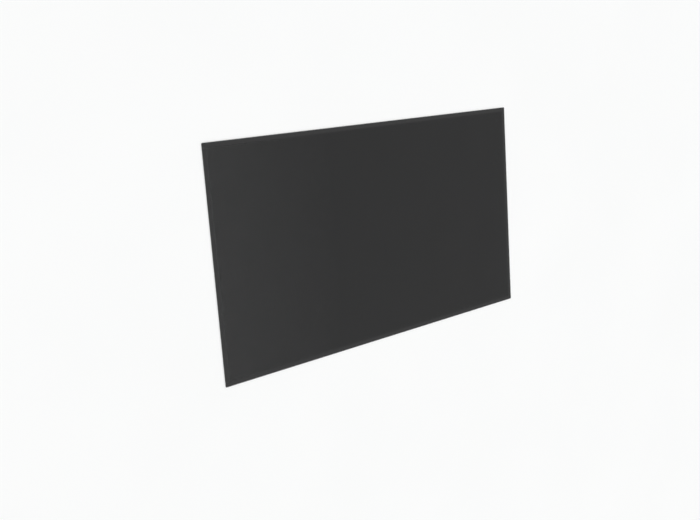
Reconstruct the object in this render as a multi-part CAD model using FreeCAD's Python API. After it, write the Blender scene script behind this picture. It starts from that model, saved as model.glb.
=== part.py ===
"""Monitor privacy filter: a flat sheet of dark louvre film, with slim mounting tape along its back edges.

The sheet lies face up, as it rests on a table. X runs along its width, Y up its height and Z out of its face.
The origin is under the middle of the sheet, on the plane that the tape rests on. Sizes are in millimetres.
"""
import FreeCAD, Part
import os

# Driving dimensions of the sheet: the 23-inch wide size, cut in one piece from a bonded laminate
sheet_width = 509.0
sheet_height = 286.0
sheet_thickness = 0.55
corner_radius = 1.5

# The cutting die drags the film down a little around the front face, which rounds that edge
edge_roll = 0.12

# Driving dimensions of the black double-sided tape
tape_width = 5.0
tape_thickness = 0.2
tape_corner_radius = 0.4

# The tape stops short of the sheet's edge, and the side strips stop short of the strips across their ends
tape_edge_margin = 0.6
tape_end_gap = 0.8

# How far an edge may lie from a height and still count as level with it
level_tolerance = 1e-6

# Heights that follow from those sizes
sheet_back = tape_thickness
sheet_front = sheet_back + sheet_thickness


def rounded_plate(width, height, thickness, radius, middle, base):
    """A flat plate with rounded corners, its middle at a point (x, y) and its underside at a height."""
    reach_x = width / 2
    reach_y = height / 2
    inner_x = reach_x - radius
    inner_y = reach_y - radius
    bulge = radius * 0.5 ** 0.5

    def at(x, y):
        return FreeCAD.Vector(middle[0] + x, middle[1] + y, base)

    def corner(sign_x, sign_y, start, end):
        on_arc = at(sign_x * (inner_x + bulge), sign_y * (inner_y + bulge))
        return Part.Arc(start, on_arc, end).toShape()

    right_low, right_high = at(reach_x, -inner_y), at(reach_x, inner_y)
    top_right, top_left = at(inner_x, reach_y), at(-inner_x, reach_y)
    left_high, left_low = at(-reach_x, inner_y), at(-reach_x, -inner_y)
    low_left, low_right = at(-inner_x, -reach_y), at(inner_x, -reach_y)
    outline = Part.Wire([
        Part.makeLine(right_low, right_high),
        corner(1, 1, right_high, top_right),
        Part.makeLine(top_right, top_left),
        corner(-1, 1, top_left, left_high),
        Part.makeLine(left_high, left_low),
        corner(-1, -1, left_low, low_left),
        Part.makeLine(low_left, low_right),
        corner(1, -1, low_right, right_low),
    ])
    return Part.Face(outline).extrude(FreeCAD.Vector(0, 0, thickness))


def edges_at_height(solid, height):
    """The edges of a solid that lie in the level plane at a height."""
    return [
        edge for edge in solid.Edges
        if max(abs(edge.BoundBox.ZMin - height), abs(edge.BoundBox.ZMax - height)) < level_tolerance
    ]


def make_filter_sheet():
    """The louvre film, cut to size, with the rolled edge that the die leaves around its front face."""
    blank = rounded_plate(sheet_width, sheet_height, sheet_thickness, corner_radius, (0, 0), sheet_back)
    return blank.makeFillet(edge_roll, edges_at_height(blank, sheet_front))


def make_tapes():
    """The strips of tape under the four edges of the sheet, by name."""
    line_x = sheet_width / 2 - tape_edge_margin - tape_width / 2
    line_y = sheet_height / 2 - tape_edge_margin - tape_width / 2
    across_length = sheet_width - 2 * tape_edge_margin
    side_length = sheet_height - 2 * (tape_edge_margin + tape_width + tape_end_gap)
    places = {
        "top_tape": (across_length, tape_width, (0, line_y)),
        "bottom_tape": (across_length, tape_width, (0, -line_y)),
        "left_tape": (tape_width, side_length, (-line_x, 0)),
        "right_tape": (tape_width, side_length, (line_x, 0)),
    }
    return {
        name: rounded_plate(width, height, tape_thickness, tape_corner_radius, middle, 0)
        for name, (width, height, middle) in places.items()
    }


def main():
    """Build every piece and write it to its own file."""
    os.makedirs("parts", exist_ok=True)
    pieces = {"filter_sheet": make_filter_sheet(), **make_tapes()}
    for name, shape in pieces.items():
        shape.exportStep(f"parts/{name}.step")
        print(name, "volume", round(shape.Volume, 2), "mm3, valid", shape.isValid())


main()
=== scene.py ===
"""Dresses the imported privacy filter: its film, the blades inside it, its tape, the floor and the light."""

import logging
import math
from dataclasses import dataclass, field
from enum import Enum
from typing import Any

import bmesh
import bpy
from mathutils import Matrix, Vector


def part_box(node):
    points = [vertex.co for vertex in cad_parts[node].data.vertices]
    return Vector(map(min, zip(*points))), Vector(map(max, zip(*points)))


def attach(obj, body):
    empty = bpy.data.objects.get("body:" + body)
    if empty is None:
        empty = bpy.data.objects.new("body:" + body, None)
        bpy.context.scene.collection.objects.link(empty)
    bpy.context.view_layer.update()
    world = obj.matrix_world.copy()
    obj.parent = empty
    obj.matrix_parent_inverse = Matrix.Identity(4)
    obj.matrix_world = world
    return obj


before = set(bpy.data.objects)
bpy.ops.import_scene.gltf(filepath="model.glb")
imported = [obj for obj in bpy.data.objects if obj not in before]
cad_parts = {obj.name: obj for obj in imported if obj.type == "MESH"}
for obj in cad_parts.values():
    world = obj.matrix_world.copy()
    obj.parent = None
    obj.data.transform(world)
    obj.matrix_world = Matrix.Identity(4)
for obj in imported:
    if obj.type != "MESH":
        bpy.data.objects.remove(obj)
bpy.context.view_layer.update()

MM = 0.001
BODY = "root"
# Nearly all values of a noise texture lie between these
NOISE_LOW, NOISE_HIGH = 0.3, 0.7
# A Mix node has several sockets of each name, so those for colours go by number
MIX_A, MIX_B, MIX_RESULT = 6, 7, 2

log = logging.getLogger("privacy_filter")


class Node(Enum):
    """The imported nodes, by what they are."""

    SHEET = "filter_sheet"
    TOP_TAPE = "top_tape"
    BOTTOM_TAPE = "bottom_tape"
    LEFT_TAPE = "left_tape"
    RIGHT_TAPE = "right_tape"


TAPES = (Node.TOP_TAPE, Node.BOTTOM_TAPE, Node.LEFT_TAPE, Node.RIGHT_TAPE)


def linear(hex_colour: str) -> tuple[float, float, float, float]:
    """Turn an sRGB hex colour into linear red, green, blue and a full alpha.

    Args:
        hex_colour: six hex digits after a hash sign.

    Returns:
        The four linear values that a colour socket takes.
    """
    shares = [int(hex_colour[i:i + 2], 16) / 255 for i in (1, 3, 5)]
    red, green, blue = (s / 12.92 if s <= 0.04045 else ((s + 0.055) / 1.055) ** 2.4 for s in shares)
    return red, green, blue, 1.0


def per_metre(size_mm: float) -> float:
    """The texture scale at which one feature of a pattern is this many millimetres wide."""
    return 1 / (size_mm * MM)


def add_node(
    tree: bpy.types.NodeTree, kind: str, inputs: dict[str | int, Any] | None = None, **settings: Any,
) -> bpy.types.Node:
    """Add one node to a tree, with its settings, its plain values and its links.

    Args:
        tree: the tree that the node joins.
        kind: the node's type name in Blender.
        inputs: a plain value, or an output to link from, for each input by name or number.
        **settings: properties of the node itself.

    Returns:
        The new node.
    """
    node = tree.nodes.new(kind)
    for name, value in settings.items():
        setattr(node, name, value)
    for key, value in (inputs or {}).items():
        if isinstance(value, bpy.types.NodeSocket):
            tree.links.new(value, node.inputs[key])
        else:
            node.inputs[key].default_value = value
    return node


def empty_material(name: str) -> tuple[bpy.types.Material, bpy.types.NodeTree]:
    """Make a material whose node tree has nothing in it yet.

    Args:
        name: the material's name.

    Returns:
        The material and its tree.
    """
    material = bpy.data.materials.new(name)
    material.use_nodes = True
    material.node_tree.nodes.clear()
    return material, material.node_tree


def add_object(name: str, mesh: bmesh.types.BMesh) -> bpy.types.Object:
    """Make a shape an object of the scene, at the origin.

    Args:
        name: the name of the object and of its mesh.
        mesh: the finished shape, which is freed here.

    Returns:
        The new object.
    """
    data = bpy.data.meshes.new(name)
    mesh.to_mesh(data)
    mesh.free()
    added = bpy.data.objects.new(name, data)
    bpy.context.collection.objects.link(added)
    return added


def dress(piece: bpy.types.Object, material: bpy.types.Material) -> None:
    """Give a piece one material all over, in place of any that it has."""
    piece.data.materials.clear()
    piece.data.materials.append(material)


@dataclass(frozen=True)
class FilmFinish:
    """Polycarbonate film, smoked, with an embossed anti-glare front: see-through, with a dull, even shine.

    The outer few millimetres, over the tape bonded at the back, get a painted reflection: their colour is
    painted a shade paler.
    """

    name: str = "smoked_anti_glare_film"
    smoke: str = "#383838"
    # Painted reflection: this paler colour along the edges stands in for light reflected there
    painted_edge_reflection: str = "#4c4c4c"
    edge_fade_mm: float = 1.2
    # The share of light that each face stops or turns back
    solid_share: float = 0.42
    ior: float = 1.58
    dull_patch_mm: float = 70.0
    roughness: tuple[float, float] = (0.5, 0.58)
    # The real grain is about 0.05 mm, too fine to show, so it is drawn ten times coarser
    grain_mm: float = 0.5
    grain_height_mm: float = 0.008

    def painted_reflection_mask(
        self, tree: bpy.types.NodeTree, place: bpy.types.NodeSocket, half: Vector, band: float,
    ) -> bpy.types.NodeSocket:
        """A value that is 1 in the band along the sheet's edges, where the paler colour of the painted
        reflection goes, and 0 inside it.

        Args:
            tree: the material's tree.
            place: the point on the surface, in the sheet's own frame.
            half: half of the sheet's width and height, in metres.
            band: the band's width, in metres.

        Returns:
            The output that holds the mask.
        """
        axes = add_node(tree, "ShaderNodeSeparateXYZ", {"Vector": place})
        past = []
        for axis, reach in (("X", half.x), ("Y", half.y)):
            from_middle = add_node(tree, "ShaderNodeMath", {0: axes.outputs[axis]}, operation="ABSOLUTE")
            beyond = add_node(
                tree, "ShaderNodeMath", {0: from_middle.outputs[0], 1: reach}, operation="SUBTRACT")
            past.append(beyond.outputs[0])
        nearest = add_node(tree, "ShaderNodeMath", {0: past[0], 1: past[1]}, operation="MAXIMUM")
        mask = add_node(tree, "ShaderNodeMapRange", {
            "Value": nearest.outputs[0],
            "From Min": -band - self.edge_fade_mm * MM / 2,
            "From Max": -band + self.edge_fade_mm * MM / 2,
        }, interpolation_type="SMOOTHSTEP")
        return mask.outputs["Result"]

    def material(self, half: Vector, band: float) -> bpy.types.Material:
        """Make the film's material.

        Args:
            half: half of the sheet's width and height, in metres.
            band: the width of the painted reflection, a paler band along the sheet's edges, in metres.

        Returns:
            The material.
        """
        material, tree = empty_material(self.name)
        place = add_node(tree, "ShaderNodeTexCoord").outputs["Object"]
        # Painted reflection: the colour is paler in the band along the edges
        shade = add_node(tree, "ShaderNodeMix", {
            "Factor": self.painted_reflection_mask(tree, place, half, band),
            MIX_A: linear(self.smoke), MIX_B: linear(self.painted_edge_reflection)}, data_type="RGBA")
        patches = add_node(tree, "ShaderNodeTexNoise", {
            "Vector": place, "Scale": per_metre(self.dull_patch_mm)})
        dullness = add_node(tree, "ShaderNodeMapRange", {
            "Value": patches.outputs["Fac"], "From Min": NOISE_LOW, "From Max": NOISE_HIGH,
            "To Min": self.roughness[0], "To Max": self.roughness[1]})
        grain = add_node(tree, "ShaderNodeTexNoise", {
            "Vector": place, "Scale": per_metre(self.grain_mm), "Detail": 3.0})
        emboss = add_node(tree, "ShaderNodeBump", {
            "Height": grain.outputs["Fac"], "Distance": self.grain_height_mm * MM})
        skin = add_node(tree, "ShaderNodeBsdfPrincipled", {
            "Base Color": shade.outputs[MIX_RESULT], "Roughness": dullness.outputs["Result"],
            "Normal": emboss.outputs["Normal"], "IOR": self.ior, "Alpha": self.solid_share})
        add_node(tree, "ShaderNodeOutputMaterial", {"Surface": skin.outputs[0]})
        return material


@dataclass(frozen=True)
class BladeFinish:
    """Carbon-black resin, cured between the clear ribs of the film: dead black.

    The ribs bend light as much as the resin does, so the blades have no shine of their own.
    """

    name: str = "carbon_black_resin"
    dark: str = "#0b0b0c"
    pale: str = "#131314"
    # The real clumps of pigment are far under 0.1 mm, too fine to show, so they are drawn much coarser
    clump_mm: float = 0.8
    shine_level: float = 0.0
    roughness: float = 0.75

    def material(self) -> bpy.types.Material:
        """Make the blades' material.

        Returns:
            The material.
        """
        material, tree = empty_material(self.name)
        place = add_node(tree, "ShaderNodeTexCoord").outputs["Object"]
        clumps = add_node(tree, "ShaderNodeTexNoise", {"Vector": place, "Scale": per_metre(self.clump_mm)})
        shade = add_node(tree, "ShaderNodeMix", {
            "Factor": clumps.outputs["Fac"],
            MIX_A: linear(self.dark), MIX_B: linear(self.pale)}, data_type="RGBA")
        resin = add_node(tree, "ShaderNodeBsdfPrincipled", {
            "Base Color": shade.outputs[MIX_RESULT], "Roughness": self.roughness,
            "Specular IOR Level": self.shine_level})
        add_node(tree, "ShaderNodeOutputMaterial", {"Surface": resin.outputs[0]})
        return material


@dataclass(frozen=True)
class TapeFinish:
    """Black acrylic tape on a polyester carrier: dark and tacky, mottled where it wetted out unevenly."""

    name: str = "black_acrylic_tape"
    dark: str = "#141415"
    pale: str = "#232324"
    mottle_mm: float = 3.0
    ior: float = 1.47
    roughness: tuple[float, float] = (0.3, 0.52)

    def material(self) -> bpy.types.Material:
        """Make the tape's material.

        Returns:
            The material.
        """
        material, tree = empty_material(self.name)
        place = add_node(tree, "ShaderNodeTexCoord").outputs["Object"]
        mottle = add_node(tree, "ShaderNodeTexNoise", {
            "Vector": place, "Scale": per_metre(self.mottle_mm), "Detail": 4.0})
        shade = add_node(tree, "ShaderNodeMix", {
            "Factor": mottle.outputs["Fac"],
            MIX_A: linear(self.dark), MIX_B: linear(self.pale)}, data_type="RGBA")
        dullness = add_node(tree, "ShaderNodeMapRange", {
            "Value": mottle.outputs["Fac"], "From Min": NOISE_LOW, "From Max": NOISE_HIGH,
            "To Min": self.roughness[0], "To Max": self.roughness[1]})
        acrylic = add_node(tree, "ShaderNodeBsdfPrincipled", {
            "Base Color": shade.outputs[MIX_RESULT], "Roughness": dullness.outputs["Result"],
            "IOR": self.ior})
        add_node(tree, "ShaderNodeOutputMaterial", {"Surface": acrylic.outputs[0]})
        return material


@dataclass(frozen=True)
class FloorFinish:
    """Board rolled with matt white paint: pale and dull, with a barely visible unevenness."""

    name: str = "matt_white_board"
    pale: str = "#fdfdfc"
    dark: str = "#f9f9f8"
    cloud_mm: float = 220.0
    shine_level: float = 0.2
    roughness: float = 0.85

    def material(self) -> bpy.types.Material:
        """Make the floor's material.

        Returns:
            The material.
        """
        material, tree = empty_material(self.name)
        place = add_node(tree, "ShaderNodeTexCoord").outputs["Object"]
        clouds = add_node(tree, "ShaderNodeTexNoise", {
            "Vector": place, "Scale": per_metre(self.cloud_mm), "Detail": 3.0})
        shade = add_node(tree, "ShaderNodeMix", {
            "Factor": clouds.outputs["Fac"],
            MIX_A: linear(self.dark), MIX_B: linear(self.pale)}, data_type="RGBA")
        board = add_node(tree, "ShaderNodeBsdfPrincipled", {
            "Base Color": shade.outputs[MIX_RESULT], "Roughness": self.roughness,
            "Specular IOR Level": self.shine_level})
        add_node(tree, "ShaderNodeOutputMaterial", {"Surface": board.outputs[0]})
        return material


@dataclass
class FilterSheet:
    """The film sheet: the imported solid, with the upright blades that close it to the side."""

    film: FilmFinish = FilmFinish()
    resin: BladeFinish = BladeFinish()
    skin_mm: float = 0.05
    # Far enough in from the edges for the blades' ends to stay inside the rounded corners
    edge_margin_mm: float = 0.5
    # A blade tapers towards the front, as the embossed groove that it fills does
    blade_root_mm: float = 0.05
    blade_tip_mm: float = 0.005
    # The sideways angle from square on at which the blades hide what is behind the film
    closing_deg: float = 38.5
    # The sheet's lowest and highest corners, in metres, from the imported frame
    low: Vector = field(init=False)
    high: Vector = field(init=False)

    def __post_init__(self) -> None:
        """Read the sheet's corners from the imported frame."""
        self.low, self.high = (Vector(corner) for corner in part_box(Node.SHEET.value))

    @property
    def bonded_band(self) -> float:
        """How far in from the sheet's edge the tape behind it reaches."""
        tape_low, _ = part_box(Node.RIGHT_TAPE.value)
        return self.high.x - tape_low[0]

    @property
    def depth(self) -> float:
        """The blades' depth through the film, between its two skins."""
        return self.high.z - self.low.z - 2 * self.skin_mm * MM

    @property
    def pitch(self) -> float:
        """The step from blade to blade: real ones are four times finer, with the same closing angle."""
        mean_blade = (self.blade_root_mm + self.blade_tip_mm) / 2 * MM
        return self.depth * math.tan(math.radians(self.closing_deg)) + mean_blade

    def dress_film(self) -> bpy.types.Object:
        """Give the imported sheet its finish.

        Returns:
            The sheet.
        """
        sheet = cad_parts[Node.SHEET.value]
        dress(sheet, self.film.material((self.high - self.low) / 2, self.bonded_band))
        return sheet

    def build_blades(self) -> bpy.types.Object:
        """Make the row of upright blades inside the film.

        Returns:
            One object that holds every blade.
        """
        margin = Vector((self.edge_margin_mm, self.edge_margin_mm, self.skin_mm)) * MM
        low, high = self.low + margin, self.high - margin
        root = self.blade_root_mm * MM
        steps = int((high.x - low.x - root) / self.pitch)
        size = Vector((root, high.y - low.y, high.z - low.z))
        middle = (low + high) / 2
        first = Vector((middle.x - steps * self.pitch / 2, middle.y, middle.z))
        mesh = bmesh.new()
        bmesh.ops.create_cube(mesh, size=1.0, matrix=Matrix.LocRotScale(first, None, size))
        bmesh.ops.scale(
            mesh, vec=(self.blade_tip_mm / self.blade_root_mm, 1, 1), space=Matrix.Translation(-first),
            verts=[vert for vert in mesh.verts if vert.co.z > middle.z])
        # A spin through no angle copies the first blade along the row, in straight steps
        bmesh.ops.spin(
            mesh, geom=mesh.verts[:] + mesh.edges[:] + mesh.faces[:], cent=(0, 0, 0), axis=(0, 0, 1),
            dvec=(self.pitch, 0, 0), angle=0.0, steps=steps, use_duplicate=True)
        blades = add_object("louvre_blades", mesh)
        dress(blades, self.resin.material())
        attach(blades, BODY)
        return blades


@dataclass
class MountingTape:
    """The tape under the sheet's edges."""

    acrylic: TapeFinish = TapeFinish()

    def dress_strips(self) -> list[bpy.types.Object]:
        """Give every packed strip its finish.

        Returns:
            The strips.
        """
        material = self.acrylic.material()
        strips = [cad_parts[node.value] for node in TAPES]
        for strip in strips:
            dress(strip, material)
        return strips


@dataclass
class Studio:
    """A pale floor in a tent that is white at the horizon and dimmer overhead, with one broad lit panel."""

    board: FloorFinish = FloorFinish()
    floor_size_m: float = 40.0
    horizon: str = "#fcfcfc"
    overhead: str = "#d6d7d8"
    # The floor hides the tent from just under the horizon, so nothing shines below this height
    lowest_glow: float = -0.08
    # The way from the part to the panel's middle, and how far from there the panel fades out
    panel_from: tuple[float, float, float] = (-0.8, -2.1, 3.4)
    panel_reach_deg: float = 42.0
    panel_strength: float = 1.55

    def build_floor(self) -> bpy.types.Object:
        """Lay the floor under the part.

        Returns:
            The floor.
        """
        mesh = bmesh.new()
        bmesh.ops.create_grid(mesh, x_segments=1, y_segments=1, size=self.floor_size_m / 2)
        floor = add_object("floor", mesh)
        dress(floor, self.board.material())
        return floor

    def build_tent(self) -> None:
        """Light the part softly from all round, and more from the panel's side."""
        world = bpy.data.worlds.new("light_tent")
        world.use_nodes = True
        tree = world.node_tree
        tree.nodes.clear()
        direction = add_node(tree, "ShaderNodeTexCoord").outputs["Generated"]
        height = add_node(tree, "ShaderNodeSeparateXYZ", {"Vector": direction}).outputs["Z"]
        shade = add_node(tree, "ShaderNodeMix", {
            "Factor": height,
            MIX_A: linear(self.horizon), MIX_B: linear(self.overhead)}, data_type="RGBA")
        above_floor = add_node(
            tree, "ShaderNodeMath", {0: height, 1: self.lowest_glow}, operation="GREATER_THAN")
        facing = add_node(tree, "ShaderNodeVectorMath", {
            0: direction, 1: Vector(self.panel_from).normalized()}, operation="DOT_PRODUCT")
        panel = add_node(tree, "ShaderNodeMapRange", {
            "Value": facing.outputs["Value"],
            "From Min": math.cos(math.radians(self.panel_reach_deg)), "From Max": 1.0,
            "To Min": 0.0, "To Max": self.panel_strength}, interpolation_type="SMOOTHSTEP")
        strength = add_node(tree, "ShaderNodeMath", {
            0: above_floor.outputs[0], 1: panel.outputs["Result"]}, operation="ADD")
        glow = add_node(tree, "ShaderNodeBackground", {
            "Color": shade.outputs[MIX_RESULT], "Strength": strength.outputs[0]})
        add_node(tree, "ShaderNodeOutputWorld", {"Surface": glow.outputs[0]})
        bpy.context.scene.world = world


@dataclass(frozen=True)
class PhotoCamera:
    """The photograph's camera, as it stood to the sheet: left of it, a little above it, slightly rolled."""

    stands_mm: tuple[float, float, float] = (-788.7, 209.2, 899.7)
    aims_mm: tuple[float, float, float] = (-53.7, -26.8, 0.0)
    roll_deg: float = -4.05
    lens_mm: float = 47.62
    sensor_mm: float = 36.0

    def build(self, face_height: float) -> None:
        """Set up the scene's camera, with the top of the sheet upwards in the picture.

        Args:
            face_height: the height of the sheet's front face, from which the places are measured.
        """
        face = Vector((0, 0, face_height))
        place = Vector(self.stands_mm) * MM + face
        forward = (Vector(self.aims_mm) * MM + face - place).normalized()
        right = forward.cross(Vector((0, 1, 0))).normalized()
        upward = right.cross(forward)
        level = Matrix((right, upward, -forward)).transposed()
        turn = level @ Matrix.Rotation(math.radians(self.roll_deg), 3, "Z")
        data = bpy.data.cameras.new("photo_camera")
        data.lens = self.lens_mm
        data.sensor_width = self.sensor_mm
        camera = bpy.data.objects.new("photo_camera", data)
        camera.matrix_world = Matrix.LocRotScale(place, turn.to_quaternion(), None)
        bpy.context.collection.objects.link(camera)
        bpy.context.scene.camera = camera


def report(piece: bpy.types.Object) -> None:
    """Log a piece's name and how many faces it has."""
    log.info("%s: %d faces", piece.name, len(piece.data.polygons))


def main() -> None:
    """Dress the filter, light it and set up its camera."""
    logging.basicConfig(level=logging.INFO, format="%(name)s %(message)s")
    sheet = FilterSheet()
    report(sheet.dress_film())
    report(sheet.build_blades())
    for strip in MountingTape().dress_strips():
        report(strip)
    studio = Studio()
    report(studio.build_floor())
    studio.build_tent()
    PhotoCamera().build(sheet.high.z)
    bpy.context.scene.view_settings.view_transform = "Standard"


if __name__ == "__main__":
    main()
